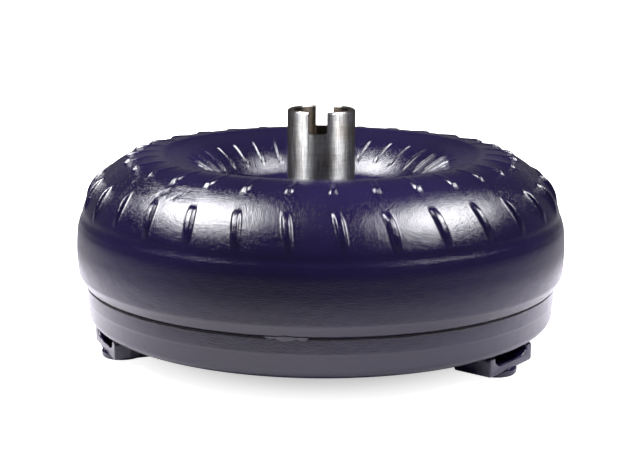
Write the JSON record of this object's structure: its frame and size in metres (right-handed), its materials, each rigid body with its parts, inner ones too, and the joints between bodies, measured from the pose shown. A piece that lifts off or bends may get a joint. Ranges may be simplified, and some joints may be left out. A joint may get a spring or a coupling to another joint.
{
  "type": "torque converter",
  "caption": "Round welded fluid coupling housing with a slotted drive hub, vaned impeller and turbine wheels, a stator on a one-way roller clutch, and bolt-on lugs for a flexplate.",
  "frame": {"origin": "on the converter's axis, in the plane of the feet of its mounting lugs", "axes": "+Z along the axis from the lugs towards the slotted pump hub, +Y through one lug"},
  "size_m": [0.3444, 0.3444, 0.1628],
  "materials": {
    "indigo_paint": "gloss paint, dark indigo, over a light grain",
    "machined_steel": "turned and ground steel",
    "sheet_steel": "pressed sheet steel with a brazed, oiled surface",
    "spring_steel": "dark spring steel",
    "cast_aluminium": "die-cast, slightly rough",
    "bronze": "plain bearing bronze"
  },
  "bodies": {
    "housing": {"front_cover": "indigo_paint", "crank_pilot": "machined_steel", "pilot_weld_bead": "indigo_paint", "mounting_lug_1": "indigo_paint", "mounting_lug_2": "indigo_paint", "mounting_lug_3": "indigo_paint", "lug_boss_1": "indigo_paint", "lug_boss_2": "indigo_paint", "lug_boss_3": "indigo_paint", "impeller_shell": "indigo_paint", "closure_weld_bead": "indigo_paint", "hub_weld_bead": "indigo_paint", "impeller_hub": "machined_steel", "impeller_vanes": "sheet_steel", "front_thrust_washer": "bronze", "pump_bearing_upper_race": "machined_steel"},
    "turbine": {"turbine_shell": "sheet_steel", "turbine_vanes": "sheet_steel", "turbine_hub": "machined_steel", "turbine_rivet_1": "machined_steel", "turbine_rivet_2": "machined_steel", "turbine_rivet_3": "machined_steel", "turbine_rivet_4": "machined_steel", "turbine_rivet_5": "machined_steel", "turbine_rivet_6": "machined_steel", "turbine_rivet_7": "machined_steel", "turbine_rivet_8": "machined_steel", "turbine_bearing_lower_race": "machined_steel"},
    "stator": {"stator_wheel": "cast_aluminium", "clutch_cam": "machined_steel", "roller_spring_1": "spring_steel", "roller_spring_2": "spring_steel", "roller_spring_3": "spring_steel", "roller_spring_4": "spring_steel", "roller_spring_5": "spring_steel", "roller_spring_6": "spring_steel", "roller_spring_7": "spring_steel", "roller_spring_8": "spring_steel", "clutch_cover_plate": "machined_steel", "clutch_snap_ring": "spring_steel", "pump_bearing_lower_race": "machined_steel", "turbine_bearing_upper_race": "machined_steel"},
    "clutch_inner_race": {"clutch_inner_race": "machined_steel"},
    "pump_bearing_cage": {"pump_bearing_cage": "spring_steel"},
    "turbine_bearing_cage": {"turbine_bearing_cage": "spring_steel"},
    "clutch_roller_1": {"clutch_roller_1": "machined_steel"},
    "clutch_roller_2": {"clutch_roller_2": "machined_steel"},
    "clutch_roller_3": {"clutch_roller_3": "machined_steel"},
    "clutch_roller_4": {"clutch_roller_4": "machined_steel"},
    "clutch_roller_5": {"clutch_roller_5": "machined_steel"},
    "clutch_roller_6": {"clutch_roller_6": "machined_steel"},
    "clutch_roller_7": {"clutch_roller_7": "machined_steel"},
    "clutch_roller_8": {"clutch_roller_8": "machined_steel"}
  },
  "joints": [
    {"name": "turbine_spin", "type": "hinge", "parent": "housing", "child": "turbine", "pos_m": [0, 0, 0.04], "axis": [0, 0, 1], "continuous": true},
    {"name": "stator_spin", "type": "hinge", "parent": "housing", "child": "stator", "pos_m": [0, 0, 0.074], "axis": [0, 0, 1], "continuous": true},
    {"name": "inner_race_spin", "type": "hinge", "parent": "stator", "child": "clutch_inner_race", "pos_m": [0, 0, 0.0725], "axis": [0, 0, 1], "continuous": true},
    {"name": "pump_bearing_cage_spin", "type": "hinge", "parent": "housing", "child": "pump_bearing_cage", "pos_m": [0, 0, 0.0861], "axis": [0, 0, 1], "continuous": true},
    {"name": "turbine_bearing_cage_spin", "type": "hinge", "parent": "pump_bearing_cage", "child": "turbine_bearing_cage", "pos_m": [0, 0, 0.0585], "axis": [0, 0, 1], "continuous": true},
    {"name": "clutch_roller_1_spin", "type": "hinge", "parent": "stator", "child": "clutch_roller_1", "pos_m": [0.034, 0, 0.07325], "axis": [0, 0, 1], "continuous": true},
    {"name": "clutch_roller_2_spin", "type": "hinge", "parent": "stator", "child": "clutch_roller_2", "pos_m": [0.02404, 0.02404, 0.07325], "axis": [0, 0, 1], "continuous": true},
    {"name": "clutch_roller_3_spin", "type": "hinge", "parent": "stator", "child": "clutch_roller_3", "pos_m": [0, 0.034, 0.07325], "axis": [0, 0, 1], "continuous": true},
    {"name": "clutch_roller_4_spin", "type": "hinge", "parent": "stator", "child": "clutch_roller_4", "pos_m": [-0.02404, 0.02404, 0.07325], "axis": [0, 0, 1], "continuous": true},
    {"name": "clutch_roller_5_spin", "type": "hinge", "parent": "stator", "child": "clutch_roller_5", "pos_m": [-0.034, 0, 0.07325], "axis": [0, 0, 1], "continuous": true},
    {"name": "clutch_roller_6_spin", "type": "hinge", "parent": "stator", "child": "clutch_roller_6", "pos_m": [-0.02404, -0.02404, 0.07325], "axis": [0, 0, 1], "continuous": true},
    {"name": "clutch_roller_7_spin", "type": "hinge", "parent": "stator", "child": "clutch_roller_7", "pos_m": [0, -0.034, 0.07325], "axis": [0, 0, 1], "continuous": true},
    {"name": "clutch_roller_8_spin", "type": "hinge", "parent": "stator", "child": "clutch_roller_8", "pos_m": [0.02404, -0.02404, 0.07325], "axis": [0, 0, 1], "continuous": true}
  ],
  "couplings": [
    {"joint": "pump_bearing_cage_spin", "follows": "stator_spin", "ratio": 0.5},
    {"joint": "turbine_bearing_cage_spin", "follows": "turbine_spin", "ratio": 0.5},
    {"joint": "clutch_roller_1_spin", "follows": "inner_race_spin", "ratio": -7.425},
    {"joint": "clutch_roller_2_spin", "follows": "inner_race_spin", "ratio": -7.425},
    {"joint": "clutch_roller_3_spin", "follows": "inner_race_spin", "ratio": -7.425},
    {"joint": "clutch_roller_4_spin", "follows": "inner_race_spin", "ratio": -7.425},
    {"joint": "clutch_roller_5_spin", "follows": "inner_race_spin", "ratio": -7.425},
    {"joint": "clutch_roller_6_spin", "follows": "inner_race_spin", "ratio": -7.425},
    {"joint": "clutch_roller_7_spin", "follows": "inner_race_spin", "ratio": -7.425},
    {"joint": "clutch_roller_8_spin", "follows": "inner_race_spin", "ratio": -7.425}
  ]
}
